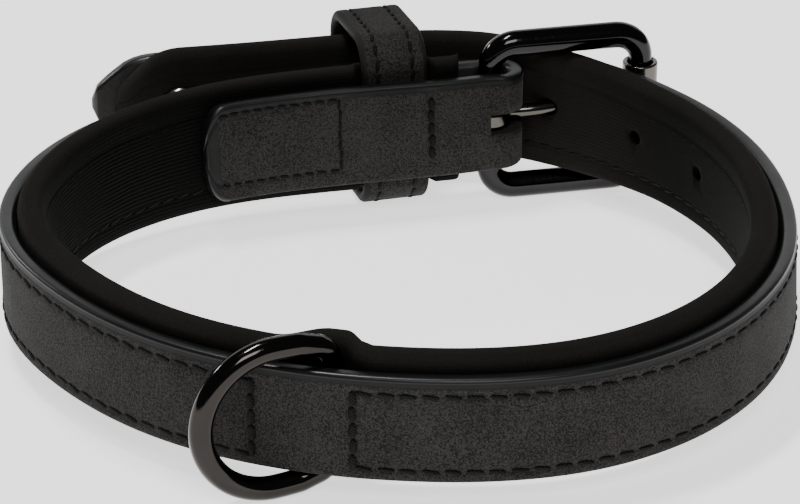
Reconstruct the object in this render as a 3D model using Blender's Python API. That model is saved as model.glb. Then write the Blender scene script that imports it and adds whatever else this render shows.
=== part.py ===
"""Padded leather dog collar, buckled closed and standing on its lower edges.

The collar is drawn in its own level frame: the neck's middle is the origin, the front faces -Y
and Z = 0 is the middle of the strap's height. One empty then tips and lifts the whole collar
until the D-ring, the buckle and the keeper stand on the ground plane Z = 0.
"""
import bmesh
import bpy
import numpy as np
from math import acos, atan2, cos, pi, radians, sin, sqrt, tan
from mathutils import Euler, Matrix, Vector

# Strap: leather outside, padding inside, sewn face to face along the seam
LEATHER_WIDTH = 0.0180
LEATHER_THICK = 0.0028
LEATHER_EDGE = 0.0009
PAD_WIDTH = 0.0225
PAD_THICK = 0.0045
PAD_EDGE = 0.0018
PAD_FLARE = 0.0010
PAD_FLARE_REACH = 0.0800
PAD_START = 0.0065
GAP = 0.0003

# Neck loop: half the seam's width and half its depth, then the spacing of the strap's sections
HALF_WIDTH = 0.0625
HALF_DEPTH = 0.0567
STATION = 0.0050
STATION_MIN = 0.0010
PROBE = 0.0005

# Buckle
HEEL_BAR = 0.0039
SIDE_BAR = 0.0048
FAR_BAR = 0.0040
FRAME_HEIGHT = 0.0281
FRAME_LENGTH = 0.0281
FRAME_CORNER = 0.0048
FRAME_TURN = radians(12.0)
FRAME_DROP = 0.0004
ROLLER_OUTER = 0.0064
ROLLER_LENGTH = 0.0170
ROLLER_EASE = 0.0004
TONGUE_WIRE = 0.0024
TONGUE_LIFT = 0.0006
TONGUE_RISE = radians(2.5)
TONGUE_EYE = 0.0082
TONGUE_EYE_WIDTH = 0.0032
TONGUE_EYE_EASE = 0.0005

# Buckle end: the leather turns round the heel bar and returns on the inner side
RETURN_LENGTH = 0.0567
RETURN_CORNER = 0.0045
RETURN_RUN = 0.0040
TURN_SLACK = 0.0011
SLOT_LENGTH = 0.0100

# Free end
HOLE = 0.0028
PUNCH_UP = 0.0010
HOLE_PITCH = 0.0192
HOLES_BEYOND_TONGUE = 2
TIP_TO_TONGUE_HOLE = 0.0892
TIP_LENGTH = 0.0120
PAD_TO_TIP = 0.0042
TIP_TO_RIVET = 0.0160
RIVET_HEAD = 0.0079
RIVET_DOME = 0.0022
RIVET_SHANK = 0.0030
RIVET_BACK = 0.0012

# D-ring
RING_WIRE = 0.0038
RING_INNER = 0.0202
RING_REACH = 0.0213
RING_ARM = 0.0094
RING_CORNER = 0.0024
RING_LIFT = 0.0006
RING_SWING = radians(204.0)
RING_PLACE = 0.1890
BULGE_BEFORE = 0.0085
BULGE_AFTER = 0.0050

# Keeper
KEEPER_WIDTH = 0.0121
KEEPER_THICK = 0.0020
KEEPER_PLACE = 0.0188
KEEPER_TURN = radians(2.0)
KEEPER_TOP = 0.0166
KEEPER_BOTTOM = 0.0157
KEEPER_CLEAR = 0.0007
KEEPER_CORNER = 0.0052
KEEPER_EDGE = 0.0007
PINCH_SIDE = 0.0002
PINCH_SLOPE = 0.0012

# The seam in plan, from the heel bar round the neck to the tip. Columns: share of the half
# width to the right, share of the half depth to the back, lift as a share of the strap's width,
# lean of the strap in degrees, with its top inward.
SEAM_ROWS = (
    (0.266, 1.005, 0.000, -3.0),
    (-0.173, 0.891, 0.000, -6.0),
    (-0.513, 0.778, 0.000, -5.0),
    (-0.814, 0.545, 0.000, -2.0),
    (-0.984, 0.212, 0.000, 0.0),
    (-1.000, -0.141, 0.000, 0.0),
    (-0.858, -0.473, 0.000, 0.0),
    (-0.576, -0.785, 0.000, 0.0),
    (0.000, -1.003, 0.000, 0.0),
    (0.480, -0.943, 0.000, 0.0),
    (0.793, -0.690, 0.000, 0.0),
    (0.972, -0.298, 0.000, 1.0),
    (1.003, 0.071, 0.000, 4.5),
    (0.922, 0.490, 0.000, 7.0),
    (0.760, 0.787, 0.000, 7.0),
    (0.499, 1.047, -0.015, -1.0),
    (0.254, 1.175, -0.015, -8.0),
    (-0.208, 1.138, 0.000, -8.0),
    (-0.560, 1.065, 0.010, -4.0),
    (-0.896, 1.030, 0.000, 0.0),
)

# Outline of the pointed tip. Columns: share of the tip's length from the nose, share of the
# half width there.
TIP_ROWS = (
    (0.00, 0.12),
    (0.03, 0.24),
    (0.10, 0.36),
    (0.25, 0.57),
    (0.50, 0.83),
    (0.75, 0.96),
    (1.00, 1.00),
)

# The tongue's centre line in plan. Columns: shares of the frame's length along it and outward.
TONGUE_ROWS = (
    (0.085, 0.000),
    (0.300, -0.020),
    (0.500, 0.010),
    (0.760, 0.110),
    (1.000, 0.165),
    (1.100, 0.160),
)


class Seam:
    """Natural cubic spline through the seam's rows, read by length along it."""

    def __init__(self, points, leans):
        knots = np.concatenate([[0.0], np.cumsum(np.linalg.norm(np.diff(points, axis=0), axis=1))])
        fine = np.linspace(0.0, knots[-1], 4001)
        self.line = np.stack([natural_spline(knots, points[:, axis], fine) for axis in range(3)], 1)
        self.leans = np.interp(fine, knots, leans)
        steps = np.linalg.norm(np.diff(self.line, axis=0), axis=1)
        self.run = np.concatenate([[0.0], np.cumsum(steps)])
        self.length = float(self.run[-1])

    def point(self, distance):
        return Vector([float(np.interp(distance, self.run, self.line[:, axis])) for axis in range(3)])

    def lean(self, distance):
        return float(np.interp(distance, self.run, self.leans))

    def outward(self, distance):
        """Level unit vector away from the neck at this distance from the heel bar."""
        near = self.point(max(distance - PROBE, 0.0))
        far = self.point(min(distance + PROBE, self.length))
        along = far - near
        return Vector((along.y, -along.x, 0.0)).normalized()

    def axes(self, distance):
        """Unit vectors across the strap and up along its face, both leaning with it."""
        outward = self.outward(distance)
        lean = self.lean(distance)
        up = Vector((0.0, 0.0, 1.0))
        return outward * cos(lean) + up * sin(lean), up * cos(lean) - outward * sin(lean)

    def place(self, distance, out, high=0.0):
        """Point at a distance along the seam, an offset across the strap and one up its face."""
        across, up = self.axes(distance)
        return self.point(distance) + across * out + up * high

    def section(self, distance, out, shape):
        """Ring of a section's corners about an offset across the strap."""
        return [self.place(distance, out + across, high) for across, high in shape]


def natural_spline(knots, values, wanted):
    """Values at the wanted places of the natural cubic spline through the knots."""
    count = len(knots)
    gaps = np.diff(knots)
    matrix = np.eye(count)
    right = np.zeros(count)
    for row in range(1, count - 1):
        matrix[row, row - 1:row + 2] = (gaps[row - 1], 2.0 * (gaps[row - 1] + gaps[row]), gaps[row])
        rise = (values[row + 1] - values[row]) / gaps[row] - (values[row] - values[row - 1]) / gaps[row - 1]
        right[row] = 6.0 * rise
    bend = np.linalg.solve(matrix, right)
    part = np.clip(np.searchsorted(knots, wanted, side="right") - 1, 0, count - 2)
    left = wanted - knots[part]
    rest = knots[part + 1] - wanted
    width = gaps[part]
    return (bend[part] * rest ** 3 + bend[part + 1] * left ** 3) / (6.0 * width) \
        + (values[part] / width - bend[part] * width / 6.0) * rest \
        + (values[part + 1] / width - bend[part + 1] * width / 6.0) * left


def make_seam():
    rows = np.array(SEAM_ROWS)
    scale = np.array([HALF_WIDTH, HALF_DEPTH, LEATHER_WIDTH])
    return Seam(rows[:, :3] * scale, np.radians(rows[:, 3]))


def table_value(rows, key):
    """Value of a two-column table between its rows."""
    keys, values = zip(*rows)
    return float(np.interp(key, keys, values))


# Materials and objects

def plain_material(name, colour, roughness, metallic):
    material = bpy.data.materials.new(name)
    material.use_nodes = True
    shader = material.node_tree.nodes["Principled BSDF"]
    shader.inputs["Base Color"].default_value = (*colour, 1.0)
    shader.inputs["Roughness"].default_value = roughness
    shader.inputs["Metallic"].default_value = metallic
    return material


def new_object(name, bm, material=None, parent=None):
    bmesh.ops.recalc_face_normals(bm, faces=bm.faces)
    mesh = bpy.data.meshes.new(name)
    bm.to_mesh(mesh)
    bm.free()
    mesh.shade_smooth()
    mesh.set_sharp_from_angle(angle=radians(40.0))
    item = bpy.data.objects.new(name, mesh)
    bpy.context.collection.objects.link(item)
    item.parent = parent
    if material:
        mesh.materials.append(material)
    return item


def combine(item, other, operation):
    """Boolean with a helper object that the build and the render leave out."""
    other.hide_render = True
    other.display_type = "WIRE"
    modifier = item.modifiers.new(operation.lower(), "BOOLEAN")
    modifier.operation = operation
    modifier.object = other
    modifier.solver = "EXACT"


# Shapes

def skin_rings(bm, rings, closed=False):
    """Faces between neighbouring rings of equal count, with flat ends unless the row closes."""
    loops = [[bm.verts.new(point) for point in ring] for ring in rings]
    pairs = list(zip(loops, loops[1:]))
    if closed:
        pairs.append((loops[-1], loops[0]))
    for near, far in pairs:
        count = len(near)
        for index in range(count):
            after = (index + 1) % count
            bm.faces.new((near[index], near[after], far[after], far[index]))
    if not closed:
        bm.faces.new(loops[0])
        bm.faces.new(list(reversed(loops[-1])))


def rounded_section(thick, half_high, edge):
    """Corners of a strap's section as (outward, up) pairs, its edges eased by two facets."""
    edge = min(edge, 0.48 * thick, 0.9 * half_high)
    middle = edge * (1.0 - sqrt(0.5))
    half = thick / 2.0
    quarter = ((half - edge, half_high), (half - middle, half_high - middle), (half, half_high - edge))
    right = list(quarter) + [(x, -z) for x, z in reversed(quarter)]
    return right + [(-x, z) for x, z in reversed(right)]


def tube_rings(centres, sides_frame, radii, sides):
    """Round rings about the centres, each in the plane of its frame's two unit vectors."""
    rings = []
    for centre, (first, second), radius in zip(centres, sides_frame, radii):
        ring = []
        for step in range(sides):
            turn = 2.0 * pi * (step + 0.5) / sides
            ring.append(centre + first * (radius * cos(turn)) + second * (radius * sin(turn)))
        rings.append(ring)
    return rings


def flat_tube(bm, path, radii, sides, closed, normal):
    """Round bar along a path that lies in the plane with this normal."""
    frames = []
    count = len(path)
    for index in range(count):
        before = path[(index - 1) % count] if closed or index else path[0]
        after = path[(index + 1) % count] if closed or index < count - 1 else path[-1]
        along = (after - before).normalized()
        frames.append((along.cross(normal).normalized(), normal))
    skin_rings(bm, tube_rings(path, frames, radii, sides), closed)


def turned(bm, profile, axis, sides):
    """Closed ring turned from a profile of (radius, height) pairs about an axis."""
    spin = axis.to_track_quat("Z", "X").to_matrix()
    rings = []
    for step in range(sides):
        turn = 2.0 * pi * (step + 0.5) / sides
        rings.append([spin @ Vector((r * cos(turn), r * sin(turn), h)) for r, h in profile])
    skin_rings(bm, rings, closed=True)


def arc(centre, radius, start, end, count):
    """Points of an arc in the X-Z plane."""
    turns = [start + (end - start) * step / (count - 1) for step in range(count)]
    return [Vector((centre[0] + radius * cos(turn), 0.0, centre[1] + radius * sin(turn))) for turn in turns]


def cylinder(bm, centre, axis, radius, length, sides):
    spin = axis.to_track_quat("Z", "X").to_matrix().to_4x4()
    bmesh.ops.create_cone(bm, cap_ends=True, segments=sides, radius1=radius, radius2=radius,
                          depth=length, matrix=Matrix.Translation(centre) @ spin)


# Strap

def leather_offset():
    return GAP / 2.0 + LEATHER_THICK / 2.0


def turn_offset():
    """Middle of the leather's turn at the buckle, outward from the seam at its start."""
    return leather_offset() - turn_radius()


def turn_radius():
    return HEEL_BAR / 2.0 + GAP + LEATHER_THICK / 2.0


def heel_place(seam):
    """Middle of the heel bar, which lies a little back in the leather's turn."""
    outward = seam.outward(0.0)
    along = Vector((outward.y, -outward.x, 0.0))
    heel = seam.place(0.0, turn_offset()) - along * TURN_SLACK
    heel.z = -FRAME_DROP
    return heel


def return_offset(distance):
    """The returned leather's middle, outward from the seam: it lies on the padding."""
    on_padding = -(GAP / 2.0 + PAD_THICK + GAP + LEATHER_THICK / 2.0)
    at_bar = turn_offset() - turn_radius()
    share = min(distance / (PAD_START + RETURN_RUN), 1.0)
    return at_bar + (on_padding - at_bar) * share * share * (3.0 - 2.0 * share)


def eased_end(distance, corner):
    """Share of the half width at this distance from an end with rounded corners."""
    if distance >= corner:
        return 1.0
    drop = corner - sqrt(corner ** 2 - (corner - distance) ** 2)
    return 1.0 - drop / (LEATHER_WIDTH / 2.0)


def return_stations():
    """Distances from the heel bar along the returned leather, from its rounded end."""
    last = RETURN_LENGTH
    rounded = [last - RETURN_CORNER * (1.0 - cos(step * pi / 8.0)) for step in range(5)]
    count = int((last - RETURN_CORNER) / STATION)
    straight = [(last - RETURN_CORNER) * (count - step) / (count + 1) for step in range(count)]
    return rounded + straight


def band_stations(start, end, tip):
    """Distances along the seam, close together over the tapered tip at the end."""
    count = round((end - tip - start) / STATION)
    even = [start + (end - tip - start) * step / count for step in range(count)]
    return even + [end - tip * share for share, _ in reversed(TIP_ROWS)]


def strap_rings(seam):
    rings = []
    for distance in return_stations():
        half = LEATHER_WIDTH / 2.0 * eased_end(RETURN_LENGTH - distance, RETURN_CORNER)
        shape = [(-out, up) for out, up in rounded_section(LEATHER_THICK, half, LEATHER_EDGE)]
        rings.append(seam.section(distance, return_offset(distance), shape))
    outward = seam.outward(0.0)
    along = Vector((outward.y, -outward.x, 0.0))
    middle = seam.place(0.0, turn_offset())
    shape = rounded_section(LEATHER_THICK, LEATHER_WIDTH / 2.0, LEATHER_EDGE)
    for step in range(9):
        turn = pi * step / 8.0
        side = along * sin(turn) - outward * cos(turn)
        rings.append([middle + side * (turn_radius() + out) + Vector((0.0, 0.0, up)) for out, up in shape])
    for distance in band_stations(STATION, seam.length, TIP_LENGTH):
        half = LEATHER_WIDTH / 2.0 * table_value(TIP_ROWS, (seam.length - distance) / TIP_LENGTH)
        rings.append(seam.section(distance, leather_offset(), rounded_section(LEATHER_THICK, half, LEATHER_EDGE)))
    return rings


def pad_shape(distance, keeper_at, ring_at):
    """Outer and inner faces of the padding, outward from the seam.

    It is squeezed thin under the keeper and bulges inward round the D-ring's bar.
    """
    outer = -GAP / 2.0
    thick = PAD_THICK
    if abs(distance - keeper_at) < KEEPER_WIDTH / 2.0 + PINCH_SIDE + PINCH_SLOPE / 2.0:
        thick = PAD_THICK - KEEPER_THICK - 1.3 * KEEPER_CLEAR
    reach = BULGE_BEFORE if distance < ring_at else BULGE_AFTER
    share = max(abs(distance - ring_at) - RING_WIRE / 3.0, 0.0) / reach
    if share < 1.0:
        outer -= (RING_WIRE + GAP) * cos(share * pi / 2.0) ** 2
    return outer, outer - thick


def pad_rings(seam, keeper_at, ring_at):
    end = seam.length - PAD_TO_TIP
    stations = band_stations(PAD_START, end, TIP_LENGTH)
    edge = KEEPER_WIDTH / 2.0 + PINCH_SIDE
    for side in (-1.0, 1.0):
        stations += [keeper_at + side * edge, keeper_at + side * (edge + PINCH_SLOPE)]
    stations += [ring_at - BULGE_BEFORE * share for share in (0.8, 0.53, 0.27, 0.0)]
    stations += [ring_at + BULGE_AFTER * share for share in (0.45, 0.9)]
    rings = []
    for distance in thin_out(sorted(stations), end - TIP_LENGTH):
        outer, inner = pad_shape(distance, keeper_at, ring_at)
        share = table_value(TIP_ROWS, (end - distance) / TIP_LENGTH)
        flare = PAD_FLARE * max(1.0 - distance / PAD_FLARE_REACH, 0.0)
        shape = rounded_section(outer - inner, (PAD_WIDTH + flare) / 2.0 * share, PAD_EDGE)
        rings.append(seam.section(distance, (outer + inner) / 2.0, shape))
    return rings


def thin_out(stations, tip):
    """Drop stations too close to the one before, except over the tip."""
    kept = [stations[0]]
    for distance in stations[1:]:
        if distance - kept[-1] > STATION_MIN or distance > tip:
            kept.append(distance)
    return kept


# Buckle, drawn with its heel bar along Z at the origin and its far bar at +X

def frame_path():
    half = FRAME_HEIGHT / 2.0
    corner = FRAME_CORNER
    far = FRAME_LENGTH - corner
    path = [Vector((0.0, 0.0, 0.0)), Vector((0.0, 0.0, half - 2.0 * corner))]
    path += arc((corner, half - corner), corner, pi, pi / 2.0, 6)
    path += arc((far, half - corner), corner, pi / 2.0, 0.0, 6)
    path += [Vector((FRAME_LENGTH, 0.0, share * ROLLER_LENGTH)) for share in (0.44, 0.0)]
    lower = [Vector((point.x, 0.0, -point.z)) for point in reversed(path[1:-1])]
    return path + lower


def frame_radius(point):
    """Half the bar's thickness: thin at the heel bar and inside the roller, thick elsewhere."""
    toward_side = min(max((abs(point.z) - FRAME_HEIGHT / 2.0 + FRAME_CORNER) / FRAME_CORNER, 0.0), 1.0)
    thin = HEEL_BAR if point.x < FRAME_LENGTH / 2.0 else FAR_BAR
    return (thin + (SIDE_BAR - thin) * sqrt(toward_side)) / 2.0


def make_buckle_frame(root, heel, material):
    bm = bmesh.new()
    path = frame_path()
    flat_tube(bm, path, [frame_radius(point) for point in path], 10, True, Vector((0.0, 1.0, 0.0)))
    item = new_object("buckle_frame", bm, material, root)
    place_on_buckle(item, heel)
    return item


def place_on_buckle(item, heel, along=0.0):
    turn = Matrix.Rotation(FRAME_TURN, 3, "Z")
    item.location = heel + turn @ Vector((along, 0.0, 0.0))
    item.rotation_euler = (0.0, 0.0, FRAME_TURN)


def make_roller(root, heel, material):
    bm = bmesh.new()
    inner = FAR_BAR / 2.0 + GAP
    outer = ROLLER_OUTER / 2.0
    half = ROLLER_LENGTH / 2.0
    ease = ROLLER_EASE
    profile = [(inner, half), (outer - ease, half), (outer, half - ease), (outer, ease - half),
               (outer - ease, -half), (inner, -half)]
    turned(bm, profile, Vector((0.0, 0.0, 1.0)), 16)
    item = new_object("roller", bm, material, root)
    place_on_buckle(item, heel, FRAME_LENGTH)
    return item


def tongue_path(count):
    rows = np.array(TONGUE_ROWS) * FRAME_LENGTH
    knots = np.concatenate([[0.0], np.cumsum(np.linalg.norm(np.diff(rows, axis=0), axis=1))])
    wanted = np.linspace(0.0, knots[-1], count)
    along = natural_spline(knots, rows[:, 0], wanted)
    outward = natural_spline(knots, rows[:, 1], wanted)
    return [Vector((float(x), float(y), float(x) * tan(TONGUE_RISE))) for x, y in zip(along, outward)]


def tongue_radii(path, extra):
    """Full width along the pin, tapering to a rounded tip."""
    radii = []
    for index in range(len(path)):
        left = (len(path) - 1 - index) / (len(path) - 1)
        ease = min(left / 0.08, 1.0)
        radii.append(TONGUE_WIRE / 2.0 * (0.45 + 0.55 * sqrt(ease)) + extra)
    return radii


def make_tongue(root, heel, material):
    up = Vector((0.0, 0.0, 1.0))
    bm = bmesh.new()
    path = tongue_path(14)
    flat_tube(bm, path, tongue_radii(path, 0.0), 10, False, up)
    item = new_object("tongue", bm, material, root)
    eye = bmesh.new()
    inner = HEEL_BAR / 2.0 + GAP
    outer = TONGUE_EYE / 2.0
    half = TONGUE_EYE_WIDTH / 2.0
    ease = TONGUE_EYE_EASE
    profile = [(inner, half - ease), (inner + ease, half), (outer - ease, half), (outer, half - ease),
               (outer, ease - half), (outer - ease, -half), (inner + ease, -half), (inner, ease - half)]
    turned(eye, profile, up, 16)
    eye_item = new_object("tongue_eye", eye, None, item)
    combine(item, eye_item, "UNION")
    place_on_buckle(item, heel)
    item.location.z += TONGUE_LIFT
    return item


# D-ring, drawn with its bar along Z at the origin and its bow toward +X

def make_d_ring(root, seam, ring_at, material):
    half = (RING_INNER + RING_WIRE) / 2.0
    corner = RING_CORNER
    stretch = (RING_REACH - RING_ARM) / half
    path = [Vector((0.0, 0.0, 0.0))]
    path += arc((corner, half - corner), corner, pi, pi / 2.0, 4)
    for point in arc((0.0, 0.0), half, pi / 2.0, 0.0, 9):
        path.append(Vector((RING_ARM + point.x * stretch, 0.0, point.z)))
    path += [Vector((point.x, 0.0, -point.z)) for point in reversed(path[1:-1])]
    bm = bmesh.new()
    flat_tube(bm, path, [RING_WIRE / 2.0] * len(path), 10, True, Vector((0.0, 1.0, 0.0)))
    item = new_object("d_ring", bm, material, root)
    item.location = seam.place(ring_at, -GAP / 2.0 - RING_WIRE / 2.0, RING_LIFT)
    item.rotation_euler = (0.0, 0.0, RING_SWING)
    return item


# Keeper, drawn with X along the strap, Y outward and Z up

def keeper_path(seam, keeper_at):
    """Middle line of the loop, from between the returned leather and the padding outward."""
    inner = KEEPER_THICK / 2.0 + KEEPER_CLEAR - GAP / 2.0 - PAD_THICK - GAP
    here = seam.point(keeper_at)
    across, _ = seam.axes(keeper_at)
    along = seam.outward(keeper_at).cross(Vector((0.0, 0.0, 1.0)))
    reach = 0.0
    for distance in np.arange(seam.length / 2.0, seam.length, STATION / 5.0):
        for high in (-LEATHER_WIDTH / 2.0, LEATHER_WIDTH / 2.0):
            offset = seam.place(float(distance), GAP / 2.0 + LEATHER_THICK + KEEPER_CLEAR, high) - here
            if abs(offset.dot(along)) < KEEPER_WIDTH:
                reach = max(reach, offset.dot(across))
    outer = reach + KEEPER_THICK / 2.0
    top = KEEPER_TOP - KEEPER_THICK / 2.0
    low = KEEPER_THICK / 2.0 - KEEPER_BOTTOM
    corners = ((inner, 1.0, top, -1.0, pi), (outer, -1.0, top, -1.0, pi / 2.0),
               (outer, -1.0, low, 1.0, 0.0), (inner, 1.0, low, 1.0, -pi / 2.0))
    path = []
    for out, out_side, up, up_side, start in corners:
        for step in range(6):
            turn = start - pi / 2.0 * step / 5.0
            path.append(Vector((0.0, out + KEEPER_CORNER * (out_side + cos(turn)),
                                up + KEEPER_CORNER * (up_side + sin(turn)))))
    return path


def make_keeper(root, seam, keeper_at, material):
    path = keeper_path(seam, keeper_at)
    count = len(path)
    rings = []
    for index, centre in enumerate(path):
        along = (path[(index + 1) % count] - path[index - 1]).normalized()
        side = Vector((0.0, along.z, -along.y))
        section = rounded_section(KEEPER_THICK, KEEPER_WIDTH / 2.0, KEEPER_EDGE)
        rings.append([centre + side * out + Vector((wide, 0.0, 0.0)) for out, wide in section])
    bm = bmesh.new()
    skin_rings(bm, rings, closed=True)
    item = new_object("keeper", bm, material, root)
    item.location = seam.point(keeper_at)
    item.rotation_euler = strap_turn(seam, keeper_at)
    item.rotation_euler.z += KEEPER_TURN
    return item


def strap_turn(seam, distance):
    """Rotation that brings Y across the strap and Z up its face."""
    outward = seam.outward(distance)
    return Euler((seam.lean(distance), 0.0, atan2(-outward.x, outward.y)))


# Rivet, turned about Y, which points outward

def make_rivet(root, seam, rivet_at, material):
    half = (GAP / 2.0 + LEATHER_THICK + PAD_THICK + GAP / 2.0) / 2.0 + GAP
    head = RIVET_HEAD / 2.0
    shank = RIVET_SHANK / 2.0
    profile = [(0.0, -half - RIVET_DOME), (0.55 * head, -half - 0.86 * RIVET_DOME),
               (0.88 * head, -half - 0.45 * RIVET_DOME), (head, -half), (shank, -half),
               (shank, half), (head, half), (0.85 * head, half + 0.75 * RIVET_BACK), (0.0, half + RIVET_BACK)]
    bm = bmesh.new()
    verts = [bm.verts.new(Vector((radius, height, 0.0))) for radius, height in profile]
    edges = [bm.edges.new(pair) for pair in zip(verts, verts[1:])]
    bmesh.ops.spin(bm, geom=verts + edges, cent=(0.0, 0.0, 0.0), axis=(0.0, 1.0, 0.0),
                   angle=2.0 * pi, steps=14)
    bmesh.ops.remove_doubles(bm, verts=bm.verts, dist=0.00001)
    item = new_object("rivet", bm, material, root)
    item.location = seam.place(rivet_at, (LEATHER_THICK - PAD_THICK) / 2.0, PUNCH_UP)
    item.rotation_euler = strap_turn(seam, rivet_at)
    return item


# Cuts

def hole_cutter(root, seam, tongue_at, rivet_at, heel):
    """Punched holes, the rivet's hole and the way of the tongue through the strap."""
    bm = bmesh.new()
    length = 4.0 * (LEATHER_THICK + PAD_THICK)
    for number in range(-HOLES_BEYOND_TONGUE, HOLES_BEYOND_TONGUE + 1):
        if number:
            at = tongue_at + number * HOLE_PITCH
            cylinder(bm, seam.place(at, -GAP, PUNCH_UP), seam.axes(at)[0], HOLE / 2.0, length / 2.0, 12)
    shank_hole = RIVET_SHANK / 2.0 + GAP
    cylinder(bm, seam.place(rivet_at, -GAP, PUNCH_UP), seam.axes(rivet_at)[0], shank_hole, length / 2.0, 12)
    path = tongue_path(14)[3:12]
    turn = Matrix.Rotation(FRAME_TURN, 3, "Z")
    path = [turn @ point + heel + Vector((0.0, 0.0, TONGUE_LIFT)) for point in path]
    flat_tube(bm, path, [TONGUE_WIRE / 2.0 + 1.3 * GAP] * len(path), 10, False, Vector((0.0, 0.0, 1.0)))
    return new_object("hole_cutter", bm, None, root)


def slot_cutter(root, heel):
    """Keyhole through the leather's turn: round about the tongue's eye, then straight."""
    eye = TONGUE_EYE / 2.0 + GAP
    straight_from = -HEEL_BAR / 5.0
    side = acos(straight_from / eye)
    turns = [side + (2.0 * pi - 2.0 * side) * step / 10.0 for step in range(11)]
    outline = [(eye * cos(turn), eye * sin(turn)) for turn in turns]
    past = 2.0 * turn_radius()
    far = straight_from + SLOT_LENGTH
    outline += [(straight_from, -past), (far, -past), (far, past), (straight_from, past)]
    half = TONGUE_EYE_WIDTH / 2.0 + GAP
    bm = bmesh.new()
    skin_rings(bm, [[Vector((x, y, high)) for x, y in outline] for high in (-half, half)])
    item = new_object("slot_cutter", bm, None, root)
    place_on_buckle(item, heel)
    item.location.z += TONGUE_LIFT
    return item


# Rest

def stand(root, feet, pieces):
    """Let the collar down on its three feet, with its box centred over the origin."""
    for _ in range(3):
        bpy.context.view_layer.update()
        lows = [min((foot.matrix_world @ vert.co for vert in foot.data.vertices), key=lambda at: at.z)
                for foot in feet]
        normal = (lows[1] - lows[0]).cross(lows[2] - lows[0]).normalized()
        if normal.z < 0.0:
            normal.negate()
        level = normal.rotation_difference(Vector((0.0, 0.0, 1.0)))
        root.rotation_euler.rotate(level)
    bpy.context.view_layer.update()
    points = np.array([piece.matrix_world @ vert.co for piece in pieces for vert in piece.data.vertices])
    low = points.min(axis=0)
    high = points.max(axis=0)
    root.location = (-(low[0] + high[0]) / 2.0, -(low[1] + high[1]) / 2.0, -low[2])


def build():
    for item in list(bpy.data.objects):
        bpy.data.objects.remove(item, do_unlink=True)
    leather = plain_material("nubuck", (0.040, 0.036, 0.033), 0.85, 0.0)
    smooth_leather = plain_material("smooth_leather", (0.028, 0.023, 0.020), 0.60, 0.0)
    neoprene = plain_material("neoprene", (0.008, 0.008, 0.008), 0.95, 0.0)
    black_metal = plain_material("black_metal", (0.016, 0.014, 0.013), 0.22, 0.9)
    gunmetal = plain_material("gunmetal", (0.100, 0.088, 0.080), 0.20, 1.0)

    root = bpy.data.objects.new("collar_rest", None)
    bpy.context.collection.objects.link(root)

    seam = make_seam()
    tongue_at = seam.length - TIP_TO_TONGUE_HOLE
    rivet_at = seam.length - TIP_TO_RIVET
    heel = heel_place(seam)

    holes = hole_cutter(root, seam, tongue_at, rivet_at, heel)
    bm = bmesh.new()
    skin_rings(bm, strap_rings(seam))
    bmesh.ops.triangulate(bm, faces=bm.faces)
    strap = new_object("strap_leather", bm, leather, root)
    combine(strap, slot_cutter(root, heel), "DIFFERENCE")
    combine(strap, holes, "DIFFERENCE")

    bm = bmesh.new()
    skin_rings(bm, pad_rings(seam, KEEPER_PLACE, RING_PLACE))
    padding = new_object("padding", bm, neoprene, root)
    combine(padding, holes, "DIFFERENCE")

    frame = make_buckle_frame(root, heel, black_metal)
    roller = make_roller(root, heel, black_metal)
    tongue = make_tongue(root, heel, black_metal)
    ring = make_d_ring(root, seam, RING_PLACE, gunmetal)
    keeper = make_keeper(root, seam, KEEPER_PLACE, smooth_leather)
    rivet = make_rivet(root, seam, rivet_at, gunmetal)
    stand(root, (ring, frame, keeper), (strap, padding, frame, roller, tongue, ring, keeper, rivet))
    return seam


build()
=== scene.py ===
"""Looks of the padded leather dog collar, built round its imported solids."""
from math import copysign, cos, pi, radians, sin, sqrt, tan

import bmesh
import bpy
import numpy as np
from mathutils import Euler, Matrix, Vector


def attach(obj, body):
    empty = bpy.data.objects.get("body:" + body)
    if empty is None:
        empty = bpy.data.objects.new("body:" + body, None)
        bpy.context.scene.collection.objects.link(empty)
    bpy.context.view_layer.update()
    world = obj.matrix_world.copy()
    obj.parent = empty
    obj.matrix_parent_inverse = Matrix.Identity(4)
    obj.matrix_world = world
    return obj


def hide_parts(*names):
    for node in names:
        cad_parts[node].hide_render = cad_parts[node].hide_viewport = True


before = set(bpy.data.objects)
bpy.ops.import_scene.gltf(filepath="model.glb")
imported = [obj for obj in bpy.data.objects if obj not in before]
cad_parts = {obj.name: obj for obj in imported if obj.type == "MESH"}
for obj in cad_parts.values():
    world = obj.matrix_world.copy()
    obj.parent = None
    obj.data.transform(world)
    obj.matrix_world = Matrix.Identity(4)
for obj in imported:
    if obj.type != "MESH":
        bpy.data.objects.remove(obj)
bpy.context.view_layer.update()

# The collar's own level frame, stood on the floor as the solids are
REST = Matrix.Translation((-0.000060, -0.005232, 0.014996)) \
    @ Euler((0.029933, -0.004002, 0.000011)).to_matrix().to_4x4()

# Strap. Lengths are in metres; RIM_THIN and PAD_END_THIN are shares of a round edge's radius.
LEATHER_WIDTH = 0.0180
LEATHER_THICK = 0.0028
PAD_WIDTH = 0.0225
PAD_THICK = 0.0045
PAD_FLARE = 0.0010
PAD_FLARE_REACH = 0.0800
PAD_START = 0.0065
GAP = 0.0003
EDGE_ROUND = 0.0011
FACE_CORNER = 0.0007
RIM_THIN = 0.04
LEATHER_RIM = 0.0028
PRESSED_BAND = 0.0016
PRESS_FADE = 0.0003
SMOOTH_END = 0.0029
STATION = 0.0025
LEAST_STATION = 0.00025
ROW_GRID = 0.0004
COLUMN_GRID = 0.0007
PAD_STATION = 0.0020
PAD_LEAST_STATION = 0.00020
PAD_OUTER_ROUND = 0.0017
PAD_INNER_ROUND = 0.0019
PAD_START_ROUND = 0.0016
PAD_TIP_THIN = 0.0060
PAD_END_THIN = 0.05
PAD_RIM = 0.0034
PAD_CROWN = 0.00012
LEAST_HALF = 0.0002
WELD = 0.000001

# Neck loop
HALF_WIDTH = 0.0625
HALF_DEPTH = 0.0567

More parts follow.
